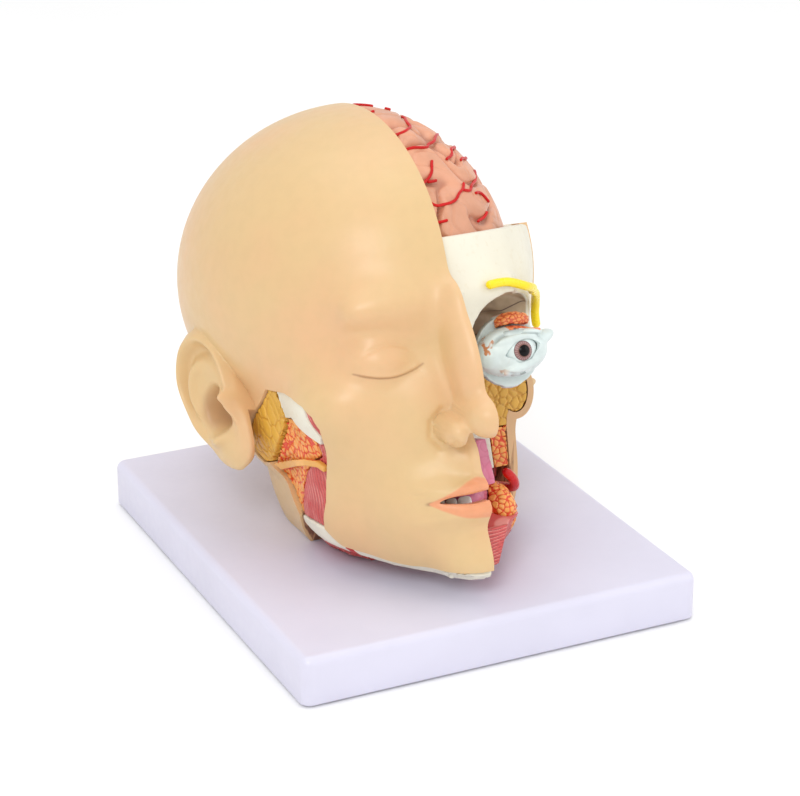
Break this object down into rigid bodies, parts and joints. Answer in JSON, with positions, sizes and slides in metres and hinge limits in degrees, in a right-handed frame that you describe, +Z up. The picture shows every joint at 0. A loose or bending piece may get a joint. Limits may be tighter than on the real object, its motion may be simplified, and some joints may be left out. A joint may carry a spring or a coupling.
{
  "type": "anatomical head model",
  "caption": "Life-size teaching head on a base plate: one half keeps its skin, the other shows brain, frontal bone, eye and mouth; head, half brain and eye lift out.",
  "frame": {"origin": "middle of the base plate, on the plane that its rubber feet stand on", "axes": "+Z up, the face looks along -Y, the head's own left side is +X"},
  "size_m": [0.1944, 0.2509, 0.2147],
  "materials": {
    "base_plate": "satin moulded plastic, pale lavender white",
    "rubber": "matt black",
    "steel": "plain zinc plated",
    "socket_plastic": "matt ivory",
    "skin": "painted, soft satin, warm tan",
    "bone": "painted, satin, cream",
    "brain": "painted, satin, pink brown with red vessels",
    "muscle": "painted, satin, striated red",
    "fat": "painted, satin, mustard lobules",
    "gland": "painted, satin, orange with red network",
    "duct": "painted, satin, yellow orange",
    "mucosa": "painted, satin, purple pink",
    "teeth": "glossy ivory white",
    "nerve": "painted, satin, bright yellow",
    "artery": "painted, satin, bright red",
    "eye_white": "glossy, pale bluish white",
    "iris": "glossy brown with a black pupil",
    "white_matter": "painted, satin, off white",
    "cerebellum": "painted, satin, brown pink"
  },
  "bodies": {
    "base": {"base_shell": "base_plate", "bottom_panel": "base_plate", "rubber_foot_front_right": "rubber", "rubber_foot_front_left": "rubber", "rubber_foot_rear_right": "rubber", "rubber_foot_rear_left": "rubber", "rubber_foot_centre": "rubber", "panel_screw_front_right": "steel", "panel_screw_front_left": "steel", "panel_screw_rear_right": "steel", "panel_screw_rear_left": "steel", "support_post": "socket_plastic", "post_screw": "steel"},
    "head": {"skin_right": "skin", "skin_left": "skin", "skull_right": "bone", "skull_left": "bone", "frontal_bone_left": "bone", "neck_core": "muscle", "neck_socket": "socket_plastic", "cervical_vertebra": "bone", "mandible_right": "bone", "buccinator_right": "muscle", "mylohyoid_muscle": "muscle", "tongue": "mucosa", "sublingual_gland": "gland", "upper_teeth_right": "teeth", "lower_teeth_right": "teeth", "hard_palate": "bone", "upper_gum_left": "mucosa", "soft_palate": "mucosa", "nasal_wall": "mucosa", "inferior_concha": "mucosa", "middle_concha": "mucosa", "superior_concha": "mucosa", "pharynx_wall": "mucosa", "brain_right": "brain", "corpus_callosum": "white_matter", "cheek_fat_right": "fat", "zygomatic_bone_right": "bone", "zygomatic_muscle_right": "muscle", "parotid_gland_right": "gland", "masseter_right": "muscle", "parotid_duct_right": "duct", "ear_fat_left": "fat", "parotid_gland_left": "gland", "mandible_ramus_left": "bone", "pterygoid_muscle_left": "muscle", "supraorbital_nerve": "nerve", "facial_artery_left": "artery"},
    "brain": {"brain_left": "brain", "cerebellum_left": "cerebellum", "brainstem_left": "white_matter"},
    "eye": {"eyeball": "eye_white", "iris": "iris", "eyelids": "eye_white", "eye_muscle_cone": "muscle", "lacrimal_gland": "gland", "optic_nerve": "nerve"}
  },
  "joints": [
    {"name": "head_lift", "type": "slide", "parent": "base", "child": "head", "axis": [0, 0, 1], "range_m": [0, 0.04]},
    {"name": "brain_lift", "type": "slide", "parent": "head", "child": "brain", "axis": [0, 0.342, 0.9397], "range_m": [0, 0.09]},
    {"name": "eye_pull", "type": "slide", "parent": "head", "child": "eye", "axis": [0, -0.9397, 0.342], "range_m": [0, 0.045]}
  ]
}
